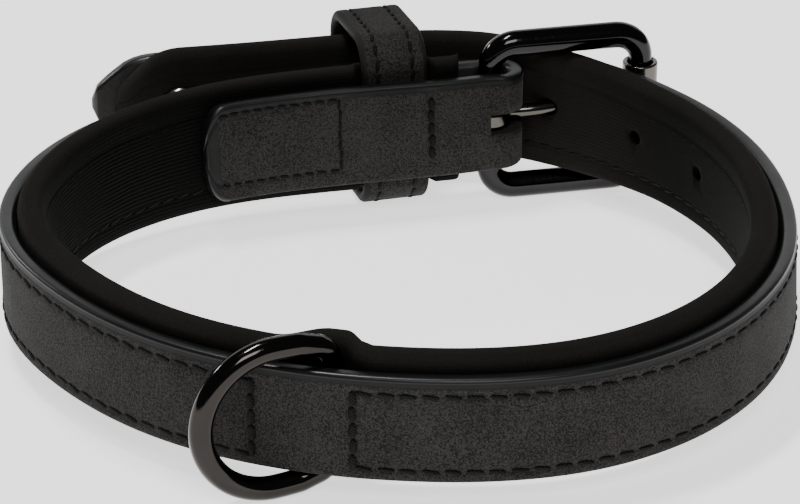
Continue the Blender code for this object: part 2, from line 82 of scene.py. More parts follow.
# Buckle. RETURN_ROUND is the share of the half width that the returned end's corners take, and
# TONGUE_NOSE the share of the pin that its rounded nose takes.
HEEL_BAR = 0.0039
SIDE_BAR = 0.0048
FAR_BAR = 0.0040
FRAME_HEIGHT = 0.0281
FRAME_LENGTH = 0.0281
FRAME_CORNER = 0.0048
FRAME_TURN = radians(12.0)
FRAME_DROP = 0.0004
ROLLER_OUTER = 0.0064
ROLLER_LENGTH = 0.0170
ROLLER_ROUND = 0.0005
TONGUE_WIRE = 0.0024
TONGUE_LIFT = 0.0006
TONGUE_RISE = radians(2.5)
TONGUE_EYE = 0.0082
TONGUE_EYE_WIDTH = 0.0032
TONGUE_EYE_ROUND = 0.0007
TONGUE_STEPS = 60
TONGUE_NOSE = 0.045
RETURN_LENGTH = 0.0567
RETURN_CORNER = 0.0045
RETURN_ROUND = 0.74
RETURN_RUN = 0.0040
TURN_SLACK = 0.0011
SLOT_LENGTH = 0.0100

# Free end. THROUGH_STRAP picks the steps of the tongue that pass through it.
HOLE = 0.0028
PUNCH_UP = 0.0010
HOLE_PITCH = 0.0192
HOLES_EACH_SIDE = 2
THROUGH_STRAP = slice(14, 50)
TIP_TO_TONGUE_HOLE = 0.0892
TIP_LENGTH = 0.0120
PAD_TO_TIP = 0.0042
TIP_TO_RIVET = 0.0160
RIVET_HEAD = 0.0079
RIVET_DOME = 0.0022
RIVET_BACK = 0.0012
RIVET_SHANK = 0.0015
RIVET_PLAY = 0.0002
PUNCH_DEPTH = 0.0146

# D-ring and keeper
RING_WIRE = 0.0038
RING_INNER = 0.0202
RING_REACH = 0.0213
RING_ARM = 0.0094
RING_CORNER = 0.0032
RING_BOW = 0.0009
RING_LIFT = 0.0006
RING_SWING = radians(204.0)
RING_PLACE = 0.1890
BULGE_BEFORE = 0.0085
BULGE_AFTER = 0.0050
BULGE_GRID = 0.0009
KEEPER_WIDTH = 0.0121
KEEPER_THICK = 0.0020
KEEPER_PLACE = 0.0188
KEEPER_TURN = radians(2.0)
KEEPER_TOP = 0.0166
KEEPER_BOTTOM = 0.0157
KEEPER_CLEAR = 0.0007
KEEPER_CORNER = 0.0052
KEEPER_RIM = 0.0009
KEEPER_PAINT = 0.0014
KEEPER_STATIONS = 120
PINCH_CLEAR = 0.0003
PINCH_RUN = 0.0012

# Thread. Rows are heights above the strap's middle, columns are places along it.
STITCH = 0.0026
STITCH_PITCH = 0.0033
THREAD = 0.0008
THREAD_PROUD = 0.00008
THREAD_SUNK = 0.00020
SLANT = 0.12
ROW_WANDER = 0.00008
ROW_TWIST = 0.08
COLUMN_WANDER = 0.00020
COLUMN_TWIST = 0.14
ROW_HIGH = 0.0060
ROW_LOW = -0.0070
ROW_CHANNEL = 0.00022
ROW_SPREAD = 0.0005
ROW_REACH = 0.0006
COLUMN_CHANNEL = 0.00030
SEW_START = 0.0030
SEW_TO_TIP = 0.0062
POCKET_START = 0.1778
POCKET_END = 0.1934
POCKET_THREAD = 0.0012
POCKET_SPREAD = 0.0014
RETURN_STITCH = 0.0017
RETURN_PITCH = 0.0025
RETURN_HIGH = 0.0072
RETURN_LOW = -0.0060
RETURN_COLUMN = 0.0297
RETURN_SPREAD = 0.0008
HEEL_COLUMN = 0.0130
HEEL_THREAD = 0.0012
HEEL_SPREAD = 0.0010
KEEPER_ROW = 0.0032
KEEPER_CHANNEL = 0.0002
KEEPER_CHANNEL_HALF = 0.00025
KEEPER_SLANT = 0.22

# The seam in plan. Columns: share of the half width to the right, share of the half depth to the
# back, lift as a share of the leather's width, lean in degrees with the top inward.
SEAM_ROWS = (
    (0.266, 1.005, 0.000, -3.0),
    (-0.173, 0.891, 0.000, -6.0),
    (-0.513, 0.778, 0.000, -5.0),
    (-0.814, 0.545, 0.000, -2.0),
    (-0.984, 0.212, 0.000, 0.0),
    (-1.000, -0.141, 0.000, 0.0),
    (-0.858, -0.473, 0.000, 0.0),
    (-0.576, -0.785, 0.000, 0.0),
    (0.000, -1.003, 0.000, 0.0),
    (0.480, -0.943, 0.000, 0.0),
    (0.793, -0.690, 0.000, 0.0),
    (0.972, -0.298, 0.000, 1.0),
    (1.003, 0.071, 0.000, 4.5),
    (0.922, 0.490, 0.000, 7.0),
    (0.760, 0.787, 0.000, 7.0),
    (0.499, 1.047, -0.015, -1.0),
    (0.254, 1.175, -0.015, -8.0),
    (-0.208, 1.138, 0.000, -8.0),
    (-0.560, 1.065, 0.010, -4.0),
    (-0.896, 1.030, 0.000, 0.0),
)

# The pointed tip. Columns: share of its length from the nose, share of the half width there.
TIP_ROWS = ((0.00, 0.10), (0.02, 0.24), (0.06, 0.33), (0.12, 0.41), (0.25, 0.57), (0.38, 0.71),
            (0.50, 0.83), (0.62, 0.91), (0.75, 0.96), (0.88, 0.99), (1.00, 1.00))

# The tongue in plan. Columns: shares of the frame's length along it and outward.
TONGUE_ROWS = ((0.085, 0.000), (0.300, -0.020), (0.500, 0.010), (0.760, 0.110), (1.000, 0.165),
               (1.100, 0.160))

# The padding's stitched channel. Columns: height from the row of stitches, depth below the face.
PAD_CHANNEL = ((0.0011, -0.00004), (0.0005, 0.00006), (0.0, 0.00025), (-0.0005, 0.00006),
               (-0.0012, -0.00004))


def natural_spline(knots, values, wanted):
    """Values at the wanted places of the natural cubic spline through the knots."""
    count = len(knots)
    gaps = np.diff(knots)
    matrix = np.eye(count)
    right = np.zeros(count)
    for row in range(1, count - 1):
        matrix[row, row - 1:row + 2] = (gaps[row - 1], 2.0 * (gaps[row - 1] + gaps[row]), gaps[row])
        slopes = np.diff(values[row - 1:row + 2]) / gaps[row - 1:row + 1]
        right[row] = 6.0 * (slopes[1] - slopes[0])
    bend = np.linalg.solve(matrix, right)
    part = np.clip(np.searchsorted(knots, wanted, side="right") - 1, 0, count - 2)
    left = wanted - knots[part]
    rest = knots[part + 1] - wanted
    width = gaps[part]
    return (bend[part] * rest ** 3 + bend[part + 1] * left ** 3) / (6.0 * width) \
        + (values[part] / width - bend[part] * width / 6.0) * rest \
        + (values[part + 1] / width - bend[part + 1] * width / 6.0) * left


def lengths(points):
    """Length of the line from its start to each of its points."""
    return np.concatenate([[0.0], np.cumsum(np.linalg.norm(np.diff(points, axis=0), axis=1))])


def eased(share):
    """Smooth step from 0 to 1."""
    share = np.clip(share, 0.0, 1.0)
    return share * share * (3.0 - 2.0 * share)


def face_outward(bm):
    """Turn every closed shell's faces outward, by the normals of the mesh as it is now."""
    bm.normal_update()
    bmesh.ops.recalc_face_normals(bm, faces=bm.faces)


class Route:
    """A line that flat work is laid along: places, and the ways across and up, by length."""

    def __init__(self, run, places, across, up):
        self.run = np.asarray(run)
        self.table = np.hstack([places, across, up])

    def at(self, distance):
        """Place, way across and way up at one distance."""
        row = [float(np.interp(distance, self.run, column)) for column in self.table.T]
        return Vector(row[0:3]), Vector(row[3:6]).normalized(), Vector(row[6:9]).normalized()

    def lay(self, flat):
        """Flat points (along, out, high) laid on the line."""
        rows = np.stack([np.interp(flat[:, 0], self.run, column) for column in self.table.T], 1)
        return rows[:, 0:3] + rows[:, 3:6] * flat[:, 1:2] + rows[:, 6:9] * flat[:, 2:3]

    def bend(self, bm):
        """Lay a flat mesh on the line. That mirrors it, so its faces are turned outward again."""
        flat = np.array([vert.co for vert in bm.verts])
        for vert, place in zip(bm.verts, self.lay(flat)):
            vert.co = place
        bmesh.ops.reverse_faces(bm, faces=bm.faces)


def seam_route():
    """The seam between leather and padding, from the heel bar round the neck to the tip."""
    rows = np.array(SEAM_ROWS)
    points = rows[:, :3] * np.array([HALF_WIDTH, HALF_DEPTH, LEATHER_WIDTH])
    knots = lengths(points)
    fine = np.linspace(0.0, knots[-1], 4001)
    line = np.stack([natural_spline(knots, points[:, axis], fine) for axis in range(3)], 1)
    leans = np.radians(np.interp(fine, knots, rows[:, 3]))[:, None]
    along = np.gradient(line, axis=0)
    outward = np.stack([along[:, 1], -along[:, 0], 0.0 * along[:, 0]], 1)
    outward /= np.linalg.norm(outward, axis=1)[:, None]
    top = np.array([[0.0, 0.0, 1.0]])
    across = outward * np.cos(leans) + top * np.sin(leans)
    up = top * np.cos(leans) - outward * np.sin(leans)
    return Route(lengths(line), line, across, up)


SEAM = seam_route()
SEAM_LENGTH = float(SEAM.run[-1])
TURN_RADIUS = HEEL_BAR / 2.0 + GAP + LEATHER_THICK / 2.0
LEATHER_OUT = GAP / 2.0 + LEATHER_THICK / 2.0
TURN_LENGTH = pi * TURN_RADIUS
TONGUE_PLACE = SEAM_LENGTH - TIP_TO_TONGUE_HOLE
RIVET_PLACE = SEAM_LENGTH - TIP_TO_RIVET
RETURN_END = -(TURN_LENGTH + RETURN_LENGTH)
RETURN_LINE = -(TURN_LENGTH + RETURN_COLUMN)
HEEL_LINE = -(TURN_LENGTH + HEEL_COLUMN)


def heel_ways():
    """Outward and along the strap, both level, at the heel bar."""
    _, outward, _ = SEAM.at(0.0)
    outward.z = 0.0
    outward.normalize()
    return outward, Vector((outward.y, -outward.x, 0.0))


def leather_route():
    """Middle of the leather, from the returned end round the heel bar (0 there) to the tip."""
    run, places, acrosses, ups = [], [], [], []
    on_padding = -(GAP / 2.0 + PAD_THICK + GAP + LEATHER_THICK / 2.0)
    at_bar = LEATHER_OUT - 2.0 * TURN_RADIUS
    for distance in np.arange(RETURN_LENGTH, 0.0, -STATION / 5.0):
        share = float(eased(distance / (PAD_START + RETURN_RUN)))
        place, across, up = SEAM.at(distance)
        run.append(-TURN_LENGTH - distance)
        places.append(place + across * (at_bar + (on_padding - at_bar) * share))
        acrosses.append(-across)
        ups.append(up)
    outward, along = heel_ways()
    start, across, up = SEAM.at(0.0)
    middle = start + across * (LEATHER_OUT - TURN_RADIUS)
    for step in range(1, 24):
        turn = pi * step / 24.0
        side = along * sin(turn) - outward * cos(turn)
        run.append(-TURN_LENGTH * (1.0 - step / 24.0))
        places.append(middle + side * TURN_RADIUS)
        acrosses.append(side)
        ups.append(Vector((0.0, 0.0, 1.0)))
    for distance in np.arange(STATION / 5.0, SEAM_LENGTH, STATION / 5.0):
        place, across, up = SEAM.at(distance)
        run.append(distance)
        places.append(place + across * LEATHER_OUT)
        acrosses.append(across)
        ups.append(up)
    place, across, up = SEAM.at(SEAM_LENGTH)
    run.append(SEAM_LENGTH)
    places.append(place + across * LEATHER_OUT)
    acrosses.append(across)
    ups.append(up)
    return Route(run, places, acrosses, ups)


LEATHER = leather_route()


def heel_place():
    """Middle of the heel bar, as far back in the strap's turn as its slack lets it."""
    _, along = heel_ways()
    start, across, _ = SEAM.at(0.0)
    heel = start + across * (LEATHER_OUT - TURN_RADIUS) - along * TURN_SLACK
    heel.z = -FRAME_DROP
    return heel


BUCKLE = Matrix.Translation(heel_place()) @ Matrix.Rotation(FRAME_TURN, 4, "Z")
TONGUE = Matrix.Translation((0.0, 0.0, TONGUE_LIFT)) @ BUCKLE


# Finishes

class Wire:
    """A shader socket that takes arithmetic: each operation adds a Math node."""

    def __init__(self, finish, socket):
        self.finish = finish
        self.socket = socket

    def maths(self, operation, other, swapped=False):
        pair = {0: other, 1: self} if swapped else {0: self, 1: other}
        return self.finish.node("ShaderNodeMath", {"operation": operation}, pair)

    def __add__(self, other):
        return self.maths("ADD", other)

    def __sub__(self, other):
        return self.maths("SUBTRACT", other)

    def __rsub__(self, other):
        return self.maths("SUBTRACT", other, swapped=True)

    def __mul__(self, other):
        return self.maths("MULTIPLY", other)

    def __abs__(self):
        return self.maths("ABSOLUTE", 0.0)

    __radd__ = __add__
    __rmul__ = __mul__


class Finish:
    """A material whose nodes come from one method."""

    def __init__(self, name):
        self.material = bpy.data.materials.new(name)
        self.material.use_nodes = True
        self.tree = self.material.node_tree
        self.shader = self.tree.nodes["Principled BSDF"]

    def node(self, kind, settings=None, sockets=None, output=0):
        made = self.tree.nodes.new(kind)
        for key, value in (settings or {}).items():
            setattr(made, key, value)
        for key, value in (sockets or {}).items():
            self.feed(made.inputs[key], value)
        return Wire(self, made.outputs[output])

    def feed(self, socket, value):
        if isinstance(value, Wire):
            self.tree.links.new(value.socket, socket)
        elif socket.type == "RGBA":
            socket.default_value = (*value, 1.0)
        else:
            socket.default_value = value

    def coordinates(self, output="Object"):
        return self.node("ShaderNodeTexCoord", output=output)

    def noise(self, scale, detail=2.0, stretch=None):
        """Value noise on the piece, from 0 to 1, with this many features to the metre."""
        place = self.coordinates()
        if stretch:
            place = self.node("ShaderNodeMapping", None, {"Vector": place, "Scale": stretch})
        return self.node("ShaderNodeTexNoise", None, {"Vector": place, "Scale": scale, "Detail": detail})

    def ramp(self, value, low, high, start=0.0, end=1.0):
        """Value mapped smoothly from low..high to start..end."""
        return self.node("ShaderNodeMapRange", {"interpolation_type": "SMOOTHSTEP"},
                         {0: value, 1: low, 2: high, 3: start, 4: end})

    def blend(self, share, first, second):
        """Colour between two colours."""
        return self.node("ShaderNodeMix", {"data_type": "RGBA"}, {0: share, 6: first, 7: second}, output=2)

    def flat(self, axis):
        """The piece's own flat coordinate in metres: 0 along it, 1 up it."""
        return self.node("ShaderNodeSeparateXYZ", None, {0: self.coordinates("UV")}, output=axis)

    def relief(self, height, depth, strength=1.0):
        """Normal of a bumpy face."""
        return self.node("ShaderNodeBump", None, {"Height": height, "Distance": depth, "Strength": strength})

    def finish(self, **sockets):
        """Connect or set the shader's own sockets, named with underscores."""
        for key, value in sockets.items():
            self.feed(self.shader.inputs[key.replace("_", " ").title().replace("Ior", "IOR")], value)
        return self.material


def nubuck():
    """Dark brushed leather: mottled grain, a pressed smoother upper band, and painted light on the returned
    end.
    """
    look = Finish("nubuck_grain")
    band = LEATHER_WIDTH / 2.0 - PRESSED_BAND
    smooth = look.ramp(look.flat(1), band - PRESS_FADE, band + PRESS_FADE)
    end = RETURN_END + SMOOTH_END
    smooth = smooth.maths("MAXIMUM", look.ramp(look.flat(0), end - PRESS_FADE, end + PRESS_FADE, 1.0, 0.0))
    grain = look.noise(5200.0, 4.0)
    speck = look.noise(2900.0, 2.0)
    cloud = look.noise(140.0, 3.0)
    rough = 1.0 - smooth * 0.85
    tone = (grain - 0.5) * rough * 2.9 + (speck - 0.5) * rough * 2.2 + (cloud - 0.5) * 0.6
    tone = tone + 0.5 - smooth * 0.42
    # Painted light: the returned end is painted lighter, fading out just before the turn round the heel bar.
    tone = tone + look.ramp(look.flat(0), -TURN_LENGTH - 0.004, -TURN_LENGTH, 0.09, 0.0)
    base = look.blend(look.ramp(tone, 0.0, 1.0), (0.0055, 0.0052, 0.0049), (0.0385, 0.0360, 0.0334))
    height = grain * rough + speck * 0.6 * rough
    return look.finish(base_color=base, roughness=0.92 - smooth * 0.35, sheen_weight=0.05,
                       sheen_roughness=0.35, specular_ior_level=0.18,
                       normal=look.relief(height, 0.00016, 0.8))


def smooth_edge(name, dark, light, shine, gloss):
    """Painted or rolled edge of leather, with a soft shine."""
    look = Finish(name)
    wave = look.noise(90.0, 2.0)
    base = look.blend(wave + (look.noise(1500.0) - 0.5) * 0.5, dark, light)
    return look.finish(base_color=base, roughness=look.ramp(wave, 0.2, 0.8, shine, shine + 0.10),
                       specular_ior_level=gloss,
                       normal=look.relief(wave + look.noise(700.0) * 0.3, 0.0002, 0.35))


def flesh_side():
    """Back of the leather, paler and fibrous."""
    look = Finish("flesh_side")
    fibre = look.noise(1500.0, 5.0)
    base = look.blend(fibre, (0.0070, 0.0062, 0.0057), (0.0200, 0.0175, 0.0160))
    return look.finish(base_color=base, roughness=0.95, normal=look.relief(fibre, 0.0002, 0.8))


def ribbed_knit():
    """Near-black knit, ribbed lengthwise, deepest at mid height; painted shade in the grooves, painted light
    on top.
    """
    look = Finish("ribbed_knit")
    ribs = (look.flat(1) * (2.0 * pi / 0.00072) + look.noise(150.0) * 5.0).maths("SINE", 0.0)
    loops = (look.flat(0) * (2.0 * pi / 0.00045)).maths("SINE", 0.0)
    worn = look.noise(60.0, 3.0)
    fuzz = look.noise(3000.0, 3.0)
    middle = look.ramp(abs(look.flat(1)), 0.0060, 0.0100, 1.0, 0.35)
    middle = middle * look.ramp(look.flat(0), 0.100, 0.150, 1.0, 0.30)
    height = ribs * 0.36 * middle * look.ramp(worn, 0.36, 0.60, 0.20, 1.0) + loops * 0.03 + fuzz * 0.6
    # Painted shade: the colour follows the rib relief, darker in the grooves, mixed with random wear.
    tone = look.ramp(height + worn * 0.6, -0.4, 1.4)
    inner = look.blend(tone, (0.0011, 0.0011, 0.0010), (0.0076, 0.0073, 0.0066))
    # Painted light: a lighter copy of the knit is blended in over the padding's top, where light falls from
    # above,
    upper = look.blend(tone, (0.0030, 0.0028, 0.0024), (0.0190, 0.0175, 0.0148))
    # and towards the free end, which the near side of the collar shades from the front lamp.
    paler = look.ramp(look.flat(1), 0.0100, 0.0125) + look.ramp(look.flat(0), 0.335, 0.370, 0.0, 0.90)
    base = look.blend(paler, inner, upper)
    return look.finish(base_color=base, roughness=0.95, sheen_weight=0.012, specular_ior_level=0.04,
                       normal=look.relief(height, 0.00030, 0.9))


def thread():
    """Black sewing thread with its twist."""
    look = Finish("black_thread")
    twist = (look.flat(0) * (2.0 * pi / 0.0006) + look.flat(1) * (2.0 * pi / 0.0005)).maths("SINE", 0.0)
    base = look.blend(look.noise(1200.0), (0.0008, 0.0008, 0.0008), (0.0030, 0.0030, 0.0028))
    return look.finish(base_color=base, roughness=0.75, specular_ior_level=0.2,
                       normal=look.relief(twist, 0.0001, 0.6))


def plated(name, dark, light, roughness):
    """Polished plating over a casting: faint waves, fine rub marks."""
    look = Finish(name)
    wave = look.noise(120.0, 2.0)
    rub = look.noise(2500.0, 2.0, (1.0, 1.0, 0.15))
    base = look.blend(wave, dark, light)
    rough = look.ramp(rub, 0.3, 0.8, roughness, roughness + 0.08)
    return look.finish(base_color=base, metallic=1.0, roughness=rough,
                       normal=look.relief(wave + rub * 0.02, 0.0002, 0.12))


NUBUCK = nubuck()
EDGE_PAINT = smooth_edge("edge_paint", (0.0024, 0.0026, 0.0030), (0.0050, 0.0052, 0.0058), 0.30, 0.35)
KEEPER_EDGE = smooth_edge("keeper_edge", (0.0080, 0.0076, 0.0068), (0.0150, 0.0142, 0.0127), 0.60, 0.12)
FLESH_SIDE = flesh_side()
RIBBED_KNIT = ribbed_knit()
THREAD_FINISH = thread()
BLACK_METAL = plated("black_plating", (0.025, 0.024, 0.025), (0.035, 0.033, 0.034), 0.08)
ROLLER_PLATE = plated("roller_plating", (0.095, 0.088, 0.081), (0.125, 0.116, 0.107), 0.16)
GUNMETAL = plated("gunmetal_plating", (0.029, 0.0258, 0.0237), (0.038, 0.0344, 0.0317), 0.08)
TONGUE_PLATE = plated("tongue_plating", (0.075, 0.070, 0.062), (0.100, 0.094, 0.084), 0.10)
RIVET_PLATE = plated("rivet_plating", (0.22, 0.205, 0.185), (0.28, 0.262, 0.236), 0.16)


# Making pieces

def make_piece(name, bm, finishes, body="collar", node=None, place=None):
    """Turn a mesh in the collar's frame into a piece that rides on its body."""
    if place:
        bm.transform(place)
    bm.transform(REST)
    mesh = bpy.data.meshes.new(name)
    bm.to_mesh(mesh)
    bm.free()
    for finish in finishes:
        mesh.materials.append(finish)
    mesh.shade_smooth()
    piece = bpy.data.objects.new(name, mesh)
    bpy.context.scene.collection.objects.link(piece)
    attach(piece, body)
    if node:
        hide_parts(node)
    return piece


def strip(profile, stations, capped=True):
    """Flat strip: a closed profile of (out, high) pairs extruded along X, with flat coordinates."""
    bm = bmesh.new()
    verts = [bm.verts.new((stations[0], out, high)) for out, high in profile]
    edges = [bm.edges.new(pair) for pair in zip(verts, verts[1:] + verts[:1])]
    if capped:
        bmesh.ops.contextual_create(bm, geom=edges)
    for before, at in zip(stations, stations[1:]):
        made = bmesh.ops.extrude_edge_only(bm, edges=edges)["geom"]
        fresh = {item for item in made if isinstance(item, bmesh.types.BMVert)}
        bmesh.ops.translate(bm, verts=list(fresh), vec=(at - before, 0.0, 0.0))
        edges = [item for item in made if isinstance(item, bmesh.types.BMEdge) and set(item.verts) <= fresh]
    if capped:
        bmesh.ops.contextual_create(bm, geom=edges)
    face_outward(bm)
    return bm


def chart(bm, girth=None):
    """Flat coordinates as the piece's UV: along it, and up it or round its girth."""
    layer = bm.loops.layers.uv.new("flat")
    for face in bm.faces:
        corners = [(loop, loop.vert.co) for loop in face.loops]
        heights = [girth(co.y, co.z) if girth else co.z for _, co in corners]
        for (loop, co), height in zip(corners, heights):
            loop[layer].uv = (co.x, height)


def reshape(bm, change):
    """Move every vertex of flat work by a function of arrays (along, out, high)."""
    flat = np.array([vert.co for vert in bm.verts])
    along, out, high = change(flat[:, 0], flat[:, 1], flat[:, 2])
    for vert, place in zip(bm.verts, np.stack([along, out, high], 1)):
        vert.co = place


def quarter(centre, radius, start, count):
    """Points round a quarter turn, from the start angle on."""
    turns = [start + pi / 2.0 * step / (count - 1) for step in range(count)]
    return [(centre[0] + radius * cos(turn), centre[1] + radius * sin(turn)) for turn in turns]


def tip_share(left):
    """Share of the half width at this distance from the nose."""
    shares, widths = zip(*TIP_ROWS)
    return np.interp(left / TIP_LENGTH, shares, widths)


def taper(high, half, share, rim):
    """Heights drawn in to a share of the half width, with the rim kept as wide as it was."""
    goal = np.maximum(half * share, LEAST_HALF)
    rim = np.minimum(rim, goal * 0.5)
    size = np.abs(high)
    inner = size * (goal - rim) / (half - rim)
    return np.sign(high) * np.where(size > half - rim, goal - (half - size), inner)


def cut(piece, cutter):
    """Take the cutter's volume out of a piece for good."""
    modifier = piece.modifiers.new("cut", "BOOLEAN")
    modifier.operation = "DIFFERENCE"
    modifier.object = cutter
    modifier.solver = "EXACT"
    ready = bpy.context.evaluated_depsgraph_get()
    ready.update()
    mesh = bpy.data.meshes.new_from_object(piece.evaluated_get(ready))
    piece.modifiers.clear()
    piece.data = mesh
    for face in mesh.polygons:
        face.material_index = min(face.material_index, len(mesh.materials) - 1)


def cutter_object(bm):
    """Object of a cutter; the walls that it leaves take the finish in the third slot."""
    for face in bm.faces:
        face.material_index = 2
    bm.transform(REST)
    mesh = bpy.data.meshes.new("cutter")
    bm.to_mesh(mesh)
    bm.free()
    cutter = bpy.data.objects.new("cutter", mesh)
    bpy.context.scene.collection.objects.link(cutter)
    return cutter


# Strap

def leather_profile():
    """Half the section of the leather, from its face's middle over the top edge to its back."""
    thick = LEATHER_THICK / 2.0
    half = LEATHER_WIDTH / 2.0
    face = [(thick, ROW_HIGH * share) for share in (0.0, 0.3, 0.6)]
    face += [(thick, ROW_HIGH + step * ROW_GRID) for step in range(-3, 6)]
    top = quarter((thick - FACE_CORNER, half - FACE_CORNER), FACE_CORNER, 0.0, 6)
    top += quarter((EDGE_ROUND - thick, half - EDGE_ROUND), EDGE_ROUND, pi / 2.0, 6)
    back = [(-thick, 0.75 * half), (-thick, 0.4 * half), (-thick, 0.0)]
    return face + top + back


def mirrored(half_profile):
    """Whole profile from its upper half, whose two ends lie on the middle."""
    return half_profile + [(out, -high) for out, high in reversed(half_profile[1:-1])]


def leather_stations():
    """Places of the leather's sections, closer at its ends, its turn and its stitched columns."""
    lead = [RETURN_END + RETURN_CORNER * (1.0 - cos(step * pi / 20.0)) ** 1.3 for step in range(11)]
    inner = list(np.arange(RETURN_END + RETURN_CORNER + STATION / 2.0, -TURN_LENGTH, STATION))
    turn = [-TURN_LENGTH * (1.0 - step / 12.0) for step in range(13)]
    band = list(np.arange(STATION, SEAM_LENGTH - TIP_LENGTH - STATION / 3.0, STATION))
    tip = [SEAM_LENGTH - TIP_LENGTH * cos(step * pi / 36.0) for step in range(19)]
    columns = [column + step * COLUMN_GRID for step in range(-3, 4)
               for column in (POCKET_START, POCKET_END, RETURN_LINE, HEEL_LINE)]
    stations = lead + inner + turn + band + tip + columns + [RETURN_END + SMOOTH_END]
    return spread(stations, LEAST_STATION, SEAM_LENGTH)


def spread(stations, least, end):
    """Stations in order, none nearer than the least to the one before, except at the end."""
    last_stretch = end - 0.001
    kept = []
    for at in sorted(stations):
        if not kept or at - kept[-1] > least or (at > last_stretch and at > kept[-1]):
            kept.append(at)
    return kept


def round_off(left, least):
    """Share of the thickness left by a round edge, this share of its radius from the end."""
    return np.sqrt(np.clip(1.0 - (1.0 - np.clip(left, least, 1.0)) ** 2, 0.0, 1.0))


def leather_outline(along, out, high):
    """Round the returned end, point the free end and thin both rims."""
    half = LEATHER_WIDTH / 2.0
    flat_high = high
    lead = np.clip((along - RETURN_END) / RETURN_CORNER, 0.0, 1.0)
    share = 1.0 - RETURN_ROUND * (1.0 - np.sqrt(1.0 - (1.0 - lead) ** 2))
    share = np.where(along < 0.0, share, tip_share(SEAM_LENGTH - along))
    high = taper(high, half, share, LEATHER_RIM)
    left = np.minimum(along - RETURN_END, SEAM_LENGTH - along) / EDGE_ROUND
    return along, out * round_off(left, RIM_THIN) - pulled_in(along, out, flat_high), high


def hollow(offset, width):
    """Section of a soft channel, 1 in its middle."""
    return np.exp(-(offset / width) ** 2)


def pulled_in(along, out, high):
    """How deep the stitching pulls the leather's face in at each place."""
    returned = along < 0.0
    upper = np.where(returned, RETURN_HIGH, ROW_HIGH)
    lower = np.where(returned, RETURN_LOW, ROW_LOW)
    sewn = np.where(returned, along < RETURN_LINE,
                    (along > PAD_START) & ((along < POCKET_START) | (along > POCKET_END)))
    depth = ROW_CHANNEL * sewn * (hollow(high - upper, ROW_SPREAD) + hollow(high - lower, ROW_SPREAD))
    inside = (high < upper + ROW_REACH) & (high > lower - ROW_REACH)
    for column, width in ((POCKET_START, POCKET_SPREAD), (POCKET_END, POCKET_SPREAD),
                          (RETURN_LINE, RETURN_SPREAD), (HEEL_LINE, HEEL_SPREAD)):
        depth = np.maximum(depth, COLUMN_CHANNEL * inside * hollow(along - column, width))
    return depth * (out > LEATHER_THICK * 0.3)


def make_leather():
    """The outer strap: nubuck on its face, paint on its upper rim, flesh side behind."""
    bm = strip(mirrored(leather_profile()), leather_stations())
    chart(bm)
    half = LEATHER_WIDTH / 2.0
    for face in bm.faces:
        middle = face.calc_center_median()
        lower_rim = middle.y > 0.0 and middle.z < 0.0 and middle.x > RETURN_END + RETURN_CORNER
        if min(half - abs(middle.z), middle.x - RETURN_END, SEAM_LENGTH - middle.x) < FACE_CORNER:
            face.material_index = 0 if lower_rim else 1
        elif middle.y < -LEATHER_THICK * 0.45:
            face.material_index = 2
    reshape(bm, leather_outline)
    LEATHER.bend(bm)
    bmesh.ops.remove_doubles(bm, verts=bm.verts, dist=WELD)
    return make_piece("strap_nubuck", bm, (NUBUCK, EDGE_PAINT, FLESH_SIDE), node="strap_leather")


def pad_profile():
    """Half the section of the padding, from its outer face's middle over the top to its inner face."""
    half = PAD_WIDTH / 2.0
    outer = -GAP / 2.0
    inner = outer - PAD_THICK
    face = [(outer, 0.0), (outer, 0.35 * half), (outer, 0.65 * half)]
    top = quarter((outer - PAD_OUTER_ROUND, half - PAD_OUTER_ROUND), PAD_OUTER_ROUND, 0.0, 6)
    top += quarter((inner + PAD_INNER_ROUND, half - PAD_INNER_ROUND), PAD_INNER_ROUND, pi / 2.0, 7)
    back = [(inner + depth, offset - ROW_LOW) for offset, depth in PAD_CHANNEL]
    back += [(inner - PAD_CROWN / 1.2, 0.3 * half), (inner - PAD_CROWN, 0.0)]
    return face + top + back


def pad_form(along, out, high):
    """Bulge round the D-ring's bar, pinch under the keeper, flare at the buckle and taper at the tip."""
    outer = -GAP / 2.0
    reach = np.where(along < RING_PLACE, BULGE_BEFORE, BULGE_AFTER)
    share = np.clip((np.abs(along - RING_PLACE) - RING_WIRE / 3.0) / reach, 0.0, 1.0)
    bulge = (RING_WIRE + GAP) * np.cos(share * pi / 2.0) ** 2
    pinch = 1.0 - eased((np.abs(along - KEEPER_PLACE) - KEEPER_WIDTH / 2.0 - PINCH_CLEAR) / PINCH_RUN)
    thick = PAD_THICK - pinch * (KEEPER_THICK + 1.3 * KEEPER_CLEAR)
    end = SEAM_LENGTH - PAD_TO_TIP
    half = PAD_WIDTH / 2.0
    flare = PAD_FLARE / 2.0 * np.maximum(1.0 - along / PAD_FLARE_REACH, 0.0)
    high = taper(high, half, tip_share(end - along), PAD_RIM) * (1.0 + flare / half)
    left = np.minimum((along - PAD_START) / PAD_START_ROUND, (end - along) / PAD_TIP_THIN)
    out = (out - outer) * round_off(left, PAD_END_THIN)
    return along, outer - bulge + out * thick / PAD_THICK, high


def pad_stations():
    """Places of the padding's sections, closer at its ends, its pinch and its bulge."""
    end = SEAM_LENGTH - PAD_TO_TIP
    lead = [PAD_START + PAD_START_ROUND * (1.0 - cos(step * pi / 10.0)) for step in range(6)]
    band = list(np.arange(PAD_START + 1.5 * PAD_STATION, end - TIP_LENGTH - PAD_STATION / 2.0, PAD_STATION))
    tip = [end - TIP_LENGTH * cos(step * pi / 32.0) for step in range(17)]
    pinch = [KEEPER_PLACE + side * (KEEPER_WIDTH / 2.0 + step * PINCH_CLEAR) for side in (-1.0, 1.0)
             for step in range(1, 6)]
    bulge = [RING_PLACE + step * BULGE_GRID for step in range(-9, 6)]
    return spread(lead + band + pinch + bulge + tip, PAD_LEAST_STATION, end)


